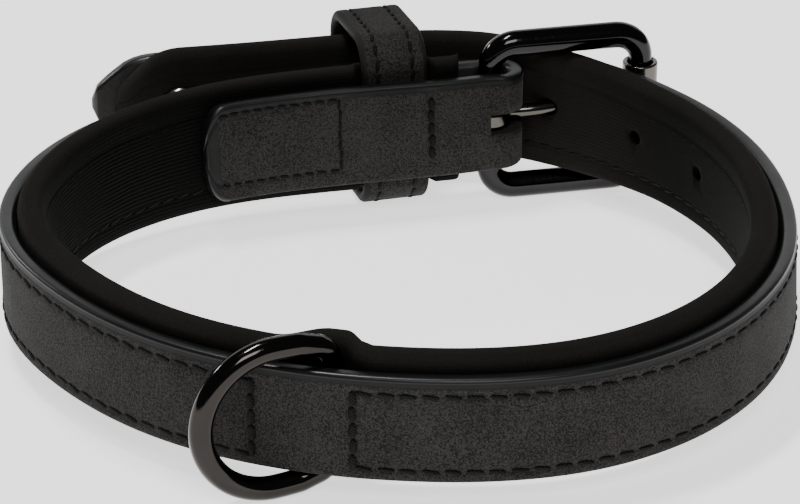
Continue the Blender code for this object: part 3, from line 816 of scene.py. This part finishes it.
def pad_girth(out, high):
    """Length round the padding's section from the middle of its inner face."""
    inner = -GAP / 2.0 - PAD_THICK
    return high + copysign(out - inner, high) * float(abs(high) > PAD_WIDTH / 2.0 - PAD_INNER_ROUND)


def make_padding():
    bm = strip(mirrored(pad_profile()), pad_stations())
    chart(bm, pad_girth)
    reshape(bm, pad_form)
    SEAM.bend(bm)
    piece = make_piece("padding_ribbed", bm, (RIBBED_KNIT,), node="padding")
    return piece


# Stitching

def add_stitch(bm, along, out, high, turn, length, thick):
    """One stitch, a short pod of thread sunk in the work, turned in the face."""
    pod = bmesh.ops.create_uvsphere(bm, u_segments=8, v_segments=8, radius=1.0,
                                    matrix=Matrix.Rotation(pi / 2.0, 4, "Y"))["verts"]
    for vert in pod:
        vert.co.x = copysign(abs(vert.co.x) ** 0.6, vert.co.x)
    size = Matrix.Diagonal((length / 2.0, thick * 0.42, thick * 0.5, 1.0))
    place = Matrix.Translation((along, out, high)) @ Matrix.Rotation(turn, 4, "Y") @ size
    bmesh.ops.transform(bm, matrix=place, verts=pod)


def uneven(step):
    """Hand of the sewing: a fixed value from -1 to 1 that varies from stitch to stitch."""
    return sin(step * 2.4) * cos(step * 0.7)


def stitch_row(bm, start, end, out, high, length=STITCH, pitch=STITCH_PITCH, thick=THREAD, slant=SLANT):
    """Stitches end to end along the strap, at one height."""
    count = max(1, round((end - start) / pitch))
    for step in range(count):
        at = start + (end - start) * (step + 0.5) / count
        turn = slant + ROW_TWIST * uneven(step + 5)
        add_stitch(bm, at, out, high + ROW_WANDER * uneven(step), turn, length, thick)


def stitch_column(bm, along, low, high, out, length, thick):
    """Stitches end to end across the strap, at one place along it."""
    count = max(1, round((high - low) / (length * 1.08)))
    for step in range(count):
        at = low + (high - low) * (step + 0.5) / count
        turn = pi / 2.0 + COLUMN_TWIST * uneven(step + 3)
        add_stitch(bm, along + COLUMN_WANDER * uneven(step), out, at, turn, length, thick)


def sew(bm, face, thick):
    """The rows that hold leather and padding together, in flat work on one face."""
    for high in (ROW_LOW, ROW_HIGH):
        stitch_row(bm, PAD_START + SEW_START, POCKET_START, face, high, thick=thick)
        stitch_row(bm, POCKET_END, SEAM_LENGTH - SEW_TO_TIP, face, high, thick=thick)


def make_strap_stitches():
    bm = bmesh.new()
    face = LEATHER_THICK / 2.0 + THREAD_PROUD
    fine = THREAD * 0.8
    sew(bm, face, THREAD)
    low = ROW_LOW - THREAD / 2.0
    high = ROW_HIGH + THREAD / 2.0
    for column in (POCKET_START, POCKET_END):
        stitch_column(bm, column, low, high, face, STITCH, POCKET_THREAD)
    for high in (RETURN_LOW, RETURN_HIGH):
        stitch_row(bm, RETURN_END + SMOOTH_END, RETURN_LINE, face, high, RETURN_STITCH, RETURN_PITCH, fine)
    stitch_column(bm, RETURN_LINE, RETURN_LOW, RETURN_HIGH, face, RETURN_STITCH * 1.1, fine)
    stitch_column(bm, HEEL_LINE, RETURN_LOW * 0.9, RETURN_HIGH * 0.85, face, STITCH * 0.9, HEEL_THREAD)
    chart(bm)
    reshape(bm, leather_outline)
    LEATHER.bend(bm)
    make_piece("strap_stitches", bm, (THREAD_FINISH,))


def make_padding_stitches():
    bm = bmesh.new()
    sew(bm, -GAP / 2.0 - PAD_THICK + THREAD_SUNK, THREAD * 0.7)
    chart(bm)
    reshape(bm, pad_form)
    SEAM.bend(bm)
    make_piece("padding_stitches", bm, (THREAD_FINISH,))


# Metalwork

def wire(points, radii, closed, smooth=6):
    """Round bar through points, made with a curve and turned into a mesh."""
    curve = bpy.data.curves.new("bar", "CURVE")
    curve.dimensions = "3D"
    curve.bevel_depth = 1.0
    curve.bevel_resolution = smooth
    curve.use_fill_caps = True
    curve.twist_mode = "MINIMUM"
    spline = curve.splines.new("POLY")
    spline.points.add(len(points) - 1)
    for point, place, radius in zip(spline.points, points, radii):
        point.co = (*place, 1.0)
        point.radius = radius
    spline.use_cyclic_u = closed
    item = bpy.data.objects.new("bar", curve)
    bpy.context.scene.collection.objects.link(item)
    ready = bpy.context.evaluated_depsgraph_get()
    ready.update()
    bm = bmesh.new()
    bm.from_mesh(bpy.data.meshes.new_from_object(item.evaluated_get(ready)))
    bpy.data.objects.remove(item)
    bmesh.ops.remove_doubles(bm, verts=bm.verts, dist=WELD)
    face_outward(bm)
    return bm


def turned(profile, steps, bm=None):
    """Solid turned about Z from a closed or pole-ended profile of (radius, height) pairs."""
    bm = bm or bmesh.new()
    verts = [bm.verts.new((radius, 0.0, height)) for radius, height in profile]
    edges = [bm.edges.new(pair) for pair in zip(verts, verts[1:])]
    if profile[0][0] > 0.0:
        edges.append(bm.edges.new((verts[-1], verts[0])))
    bmesh.ops.spin(bm, geom=verts + edges, cent=(0.0, 0.0, 0.0), axis=(0.0, 0.0, 1.0), angle=2.0 * pi,
                   steps=steps, use_merge=True)
    bmesh.ops.remove_doubles(bm, verts=bm.verts, dist=WELD)
    face_outward(bm)
    return bm


def rounded(profile, size, steps=4):
    """Profile with its corners eased by short arcs."""
    eased_points = []
    count = len(profile)
    for index, corner in enumerate(profile):
        corner = Vector(corner)
        before = Vector(profile[index - 1]) - corner
        after = Vector(profile[(index + 1) % count]) - corner
        reach = min(size, before.length * 0.45, after.length * 0.45)
        start = corner + before.normalized() * reach
        end = corner + after.normalized() * reach
        for step in range(steps + 1):
            share = step / steps
            point = start * (1.0 - share) ** 2 + corner * (2.0 * share * (1.0 - share)) + end * share ** 2
            eased_points.append(tuple(point))
    return eased_points


def arc(centre, radius, start, end, count):
    """Points of an arc in the X-Z plane."""
    turns = [start + (end - start) * step / (count - 1) for step in range(count)]
    return [(centre[0] + radius * cos(turn), 0.0, centre[1] + radius * sin(turn)) for turn in turns]


def spaced(points, count, closed):
    """Evenly spaced points along a line through the given ones."""
    points = np.array(points + points[:1] if closed else points)
    run = lengths(points)
    wanted = np.linspace(0.0, run[-1], count + 1 if closed else count)
    line = np.stack([np.interp(wanted, run, points[:, axis]) for axis in range(3)], 1)
    return [tuple(row) for row in (line[:-1] if closed else line)]


def make_buckle_frame():
    half = FRAME_HEIGHT / 2.0
    corner = FRAME_CORNER
    far = FRAME_LENGTH - corner
    path = [(0.0, 0.0, 0.0), (0.0, 0.0, half - 2.0 * corner)]
    path += arc((corner, half - corner), corner, pi, pi / 2.0, 12)
    path += arc((far, half - corner), corner, pi / 2.0, 0.0, 12)
    path += [(FRAME_LENGTH, 0.0, 0.44 * ROLLER_LENGTH), (FRAME_LENGTH, 0.0, 0.0)]
    path += [(x, y, -z) for x, y, z in reversed(path[1:-1])]
    path = spaced(path, 150, True)
    radii = []
    for x, _, z in path:
        toward_side = min(max((abs(z) - half + corner) / corner, 0.0), 1.0)
        thin = HEEL_BAR if x < FRAME_LENGTH / 2.0 else FAR_BAR
        radii.append((thin + (SIDE_BAR - thin) * sqrt(toward_side)) / 2.0)
    radii = np.convolve(radii[-3:] + radii + radii[:3], np.ones(7) / 7.0, "valid")
    bar = wire(path, radii, True, 8)
    make_piece("frame_bar", bar, (BLACK_METAL,), node="buckle_frame", place=BUCKLE)


def ring_section(inner, outer, half, size):
    """Section of a short sleeve with its corners rounded."""
    return rounded([(inner, -half), (outer, -half), (outer, half), (inner, half)], size)


def make_roller():
    inner = FAR_BAR / 2.0 + GAP
    outer = ROLLER_OUTER / 2.0
    half = ROLLER_LENGTH / 2.0
    sleeve = turned(ring_section(inner, outer, half, ROLLER_ROUND), 48)
    make_piece("roller_sleeve", sleeve, (ROLLER_PLATE,), "buckle_roller", "roller",
               BUCKLE @ Matrix.Translation((FRAME_LENGTH, 0.0, 0.0)))


def tongue_line(count):
    """Evenly spaced points of the tongue's middle line, from the heel bar on."""
    rows = np.array(TONGUE_ROWS) * FRAME_LENGTH
    knots = lengths(rows)
    wanted = np.linspace(0.0, knots[-1], count)
    along = natural_spline(knots, rows[:, 0], wanted)
    outward = natural_spline(knots, rows[:, 1], wanted)
    return [(float(x), float(y), float(x) * tan(TONGUE_RISE)) for x, y in zip(along, outward)]


def make_tongue():
    line = tongue_line(TONGUE_STEPS)
    radii = []
    for index in range(len(line)):
        left = (len(line) - 1 - index) / (len(line) - 1)
        radii.append(TONGUE_WIRE / 2.0 * sqrt(1.0 - (1.0 - min(left / TONGUE_NOSE, 1.0)) ** 2 * 0.97))
    bm = wire(line, radii, False, 8)
    inner = HEEL_BAR / 2.0 + GAP
    outer = TONGUE_EYE / 2.0
    half = TONGUE_EYE_WIDTH / 2.0
    turned(ring_section(inner, outer, half, TONGUE_EYE_ROUND), 40, bm)
    make_piece("tongue_pin", bm, (TONGUE_PLATE,), node="tongue", place=TONGUE)


def make_ring():
    half = (RING_INNER + RING_WIRE) / 2.0
    corner = RING_CORNER
    stretch = (RING_REACH - RING_ARM) / half
    path = [(0.0, 0.0, 0.0)]
    path += arc((corner, half - RING_BOW - corner), corner, pi, 0.56 * pi, 10)
    path += [(share * RING_ARM, 0.0, half - RING_BOW * (1.0 - share) ** 2) for share in (0.55, 0.70, 0.85)]
    path += [(RING_ARM + x * stretch, 0.0, z) for x, _, z in arc((0.0, 0.0), half, pi / 2.0, 0.0, 40)]
    path += [(x, y, -z) for x, y, z in reversed(path[1:-1])]
    path = spaced(path, 180, True)
    place, across, up = SEAM.at(RING_PLACE)
    middle = place + across * (-GAP / 2.0 - RING_WIRE / 2.0) + up * RING_LIFT
    ring = wire(path, [RING_WIRE / 2.0] * len(path), True, 8)
    make_piece("ring_wire", ring, (GUNMETAL,), "leash_ring", "d_ring",
               Matrix.Translation(middle) @ Matrix.Rotation(RING_SWING, 4, "Z"))


def strap_turn(distance):
    """Frame whose Y points across the strap and Z up its face, at a place on the seam."""
    place, across, up = SEAM.at(distance)
    along = across.cross(up)
    return Matrix.Translation(place) @ Matrix((along, across, up)).transposed().to_4x4()


def make_rivet():
    half = (LEATHER_THICK + PAD_THICK + GAP) / 2.0 + GAP
    head = RIVET_HEAD / 2.0
    dome = [(head * sin(turn), half + RIVET_DOME * cos(turn)) for turn in np.linspace(0.0, pi / 2.0, 14)]
    back = [(head, -half), (head * 0.96, -half - RIVET_BACK * 0.45), (head * 0.80, -half - RIVET_BACK * 0.85),
            (head * 0.55, -half - RIVET_BACK), (0.0, -half - RIVET_BACK)]
    shank = [(RIVET_SHANK, half), (RIVET_SHANK, -half)]
    bm = turned(dome + shank + back, 40)
    middle = Matrix.Translation((0.0, (LEATHER_THICK - PAD_THICK) / 2.0, PUNCH_UP))
    inward = strap_turn(RIVET_PLACE) @ middle @ Matrix.Rotation(pi / 2.0, 4, "X")
    make_piece("rivet_heads", bm, (RIVET_PLATE,), node="rivet", place=inward)


# Keeper

def keeper_loop():
    """Middle line of the keeper across the strap and up it, as (out, high) points."""
    inner = KEEPER_THICK / 2.0 + KEEPER_CLEAR - GAP / 2.0 - PAD_THICK - GAP
    here, across, _ = SEAM.at(KEEPER_PLACE)
    along = Vector((across.x, across.y, 0.0)).normalized().cross(Vector((0.0, 0.0, 1.0)))
    reach = 0.0
    for distance in np.arange(SEAM_LENGTH / 2.0, SEAM_LENGTH, 0.001):
        place, out, up = SEAM.at(distance)
        for high in (-LEATHER_WIDTH / 2.0, LEATHER_WIDTH / 2.0):
            offset = place + out * (GAP / 2.0 + LEATHER_THICK + KEEPER_CLEAR) + up * high - here
            if abs(offset.dot(along)) < KEEPER_WIDTH:
                reach = max(reach, offset.dot(across))
    outer = reach + KEEPER_THICK / 2.0
    top = KEEPER_TOP - KEEPER_THICK / 2.0
    low = KEEPER_THICK / 2.0 - KEEPER_BOTTOM
    corners = ((inner, 1.0, top, -1.0, pi), (outer, -1.0, top, -1.0, pi / 2.0),
               (outer, -1.0, low, 1.0, 0.0), (inner, 1.0, low, 1.0, -pi / 2.0))
    loop = []
    for out, out_side, up, up_side, start in corners:
        for step in range(13):
            turn = start - pi / 2.0 * step / 12.0
            loop.append((out + KEEPER_CORNER * (out_side + cos(turn)),
                         up + KEEPER_CORNER * (up_side + sin(turn))))
    return loop


def keeper_route():
    """The keeper's middle line as a route, whose way up runs along the strap."""
    loop = [(0.0, out, high) for out, high in keeper_loop()]
    line = np.array(spaced(loop, KEEPER_STATIONS, True))
    after = np.roll(line, -1, axis=0) - np.roll(line, 1, axis=0)
    along = after / np.linalg.norm(after, axis=1)[:, None]
    across = np.stack([0.0 * along[:, 0], -along[:, 2], along[:, 1]], 1)
    up = np.tile([[-1.0, 0.0, 0.0]], (len(line), 1))
    rows = [np.vstack([part, part[:1]]) for part in (line, across, up)]
    return Route(lengths(rows[0]), *rows)


def make_keeper():
    thick = KEEPER_THICK / 2.0
    half = KEEPER_WIDTH / 2.0
    row = KEEPER_ROW
    sunk = thick - KEEPER_CHANNEL
    face = [(thick, 0.0), (thick, row - ROW_REACH), (sunk, row - KEEPER_CHANNEL_HALF),
            (sunk, row + KEEPER_CHANNEL_HALF), (thick, row + ROW_REACH)]
    top = quarter((thick - KEEPER_RIM, half - KEEPER_RIM), KEEPER_RIM, 0.0, 6)
    top += quarter((KEEPER_RIM - thick, half - KEEPER_RIM), KEEPER_RIM, pi / 2.0, 6)
    profile = mirrored(face + top + [(-thick, 0.5 * half), (-thick, 0.0)])
    route = keeper_route()
    length = float(route.run[-1])
    stations = [length * step / KEEPER_STATIONS for step in range(KEEPER_STATIONS + 1)]
    bm = strip(profile, stations, capped=False)
    chart(bm)
    for item in bm.faces:
        middle = item.calc_center_median()
        item.material_index = int(half - abs(middle.z) < KEEPER_PAINT)
    route.bend(bm)
    bmesh.ops.remove_doubles(bm, verts=bm.verts, dist=2.0 * WELD)
    place = strap_turn(KEEPER_PLACE) @ Matrix.Rotation(KEEPER_TURN, 4, "Z")
    make_piece("keeper_loop", bm, (NUBUCK, KEEPER_EDGE), node="keeper", place=place)
    bm = bmesh.new()
    for high in (-row, row):
        stitch_row(bm, 0.0, length, sunk, high, RETURN_STITCH * 1.2, RETURN_PITCH, THREAD, KEEPER_SLANT)
    chart(bm)
    route.bend(bm)
    make_piece("keeper_stitches", bm, (THREAD_FINISH,), place=place.copy())


# Holes

def hole_cutter():
    """Round holes of the free end, and the tongue's way through it."""
    bm = bmesh.new()
    places = [(TONGUE_PLACE + step * HOLE_PITCH, HOLE / 2.0)
              for step in range(-HOLES_EACH_SIDE, HOLES_EACH_SIDE + 1) if step]
    places.append((RIVET_PLACE, RIVET_SHANK + RIVET_PLAY))
    for at, radius in places:
        place = strap_turn(at) @ Matrix.Translation((0.0, -GAP, PUNCH_UP)) @ Matrix.Rotation(pi / 2.0, 4, "X")
        bmesh.ops.create_cone(bm, cap_ends=True, segments=28, radius1=radius, radius2=radius,
                              depth=PUNCH_DEPTH, matrix=place)
    line = tongue_line(TONGUE_STEPS)[THROUGH_STRAP]
    way = wire(line, [TONGUE_WIRE / 2.0 + 1.3 * GAP] * len(line), False, 6)
    way.transform(TONGUE)
    mesh = bpy.data.meshes.new("way")
    way.to_mesh(mesh)
    way.free()
    bm.from_mesh(mesh)
    return cutter_object(bm)


def slot_cutter():
    """Slot in the turn round the heel bar: round at the tongue's eye, straight round the pin."""
    bm = bmesh.new()
    eye = TONGUE_EYE / 2.0 + GAP
    straight_from = -HEEL_BAR / 5.0
    far = straight_from + SLOT_LENGTH
    past = 2.0 * TURN_RADIUS
    side = float(np.arccos(straight_from / eye))
    turns = [side + (2.0 * pi - 2.0 * side) * step / 20.0 for step in range(21)]
    outline = [(eye * cos(turn), eye * sin(turn)) for turn in turns]
    outline += [(straight_from, -past), (far, -past), (far, past), (straight_from, past)]
    half = TONGUE_EYE_WIDTH / 2.0 + GAP
    verts = [bm.verts.new((x, y, -half)) for x, y in outline]
    edges = [bm.edges.new(pair) for pair in zip(verts, verts[1:] + verts[:1])]
    face = bmesh.ops.contextual_create(bm, geom=edges)["faces"]
    made = bmesh.ops.extrude_face_region(bm, geom=face)["geom"]
    lifted = [item for item in made if isinstance(item, bmesh.types.BMVert)]
    bmesh.ops.translate(bm, verts=lifted, vec=(0.0, 0.0, 2.0 * half))
    face_outward(bm)
    bm.transform(TONGUE)
    return cutter_object(bm)


def punch(leather, padding):
    """Punch the holes through both layers, and the slot through the leather alone."""
    for make_cutter, pieces in ((hole_cutter, (leather, padding)), (slot_cutter, (leather,))):
        cutter = make_cutter()
        for piece in pieces:
            cut(piece, cutter)
        bpy.data.objects.remove(cutter)


leather_piece = make_leather()
padding_piece = make_padding()
punch(leather_piece, padding_piece)
make_strap_stitches()
make_padding_stitches()
make_keeper()
make_buckle_frame()
make_roller()
make_tongue()
make_ring()
make_rivet()


# Floor, light and camera

def make_floor():
    bm = bmesh.new()
    bmesh.ops.create_grid(bm, x_segments=1, y_segments=1, size=4.0)
    mesh = bpy.data.meshes.new("floor")
    bm.to_mesh(mesh)
    bm.free()
    look = Finish("pale_floor")
    mesh.materials.append(look.finish(base_color=(0.86, 0.86, 0.86), roughness=0.9,
                                      emission_color=(1.0, 1.0, 1.0), emission_strength=1.30))
    floor = bpy.data.objects.new("floor", mesh)
    bpy.context.scene.collection.objects.link(floor)


def add_light(name, place, power, size, aim=(0.0, 0.0, 0.015)):
    """Softbox at a place, turned to the collar."""
    light = bpy.data.lights.new(name, "AREA")
    light.energy = power
    light.shape = "RECTANGLE"
    light.size, light.size_y = size
    lamp = bpy.data.objects.new(name, light)
    lamp.location = place
    lamp.rotation_euler = (Vector(aim) - Vector(place)).to_track_quat("-Z", "Y").to_euler()
    bpy.context.scene.collection.objects.link(lamp)


def make_light():
    world = bpy.data.worlds.new("studio")
    bpy.context.scene.world = world
    world.use_nodes = True
    world.node_tree.nodes["Background"].inputs["Color"].default_value = (0.10, 0.10, 0.105, 1.0)
    add_light("overhead", (-0.20, 0.10, 1.00), 6.5, (0.34, 0.08))
    add_light("front", (0.12, -0.85, 0.95), 5.9, (0.50, 0.40))
    add_light("left", (-0.90, 0.63, 0.50), 2.2, (0.20, 0.08))
    add_light("backdrop", (0.0, 2.20, 0.95), 16.0, (4.0, 1.1))


def make_camera():
    """Camera at the photograph's angle to the collar."""
    lift = radians(27.0)
    distance = 0.575
    ahead = Vector((0.0, cos(lift), -sin(lift)))
    above = Vector((0.0, sin(lift), cos(lift)))
    turn = Matrix((Vector((1.0, 0.0, 0.0)), above, -ahead)).transposed().to_4x4()
    lens = bpy.data.cameras.new("camera")
    lens.sensor_width = 36.0
    lens.lens = 155.25
    lens.clip_start = 0.01
    camera = bpy.data.objects.new("camera", lens)
    camera.matrix_world = REST @ Matrix.Translation(-distance * ahead) @ turn
    bpy.context.scene.collection.objects.link(camera)
    bpy.context.scene.camera = camera


make_floor()
make_light()
make_camera()
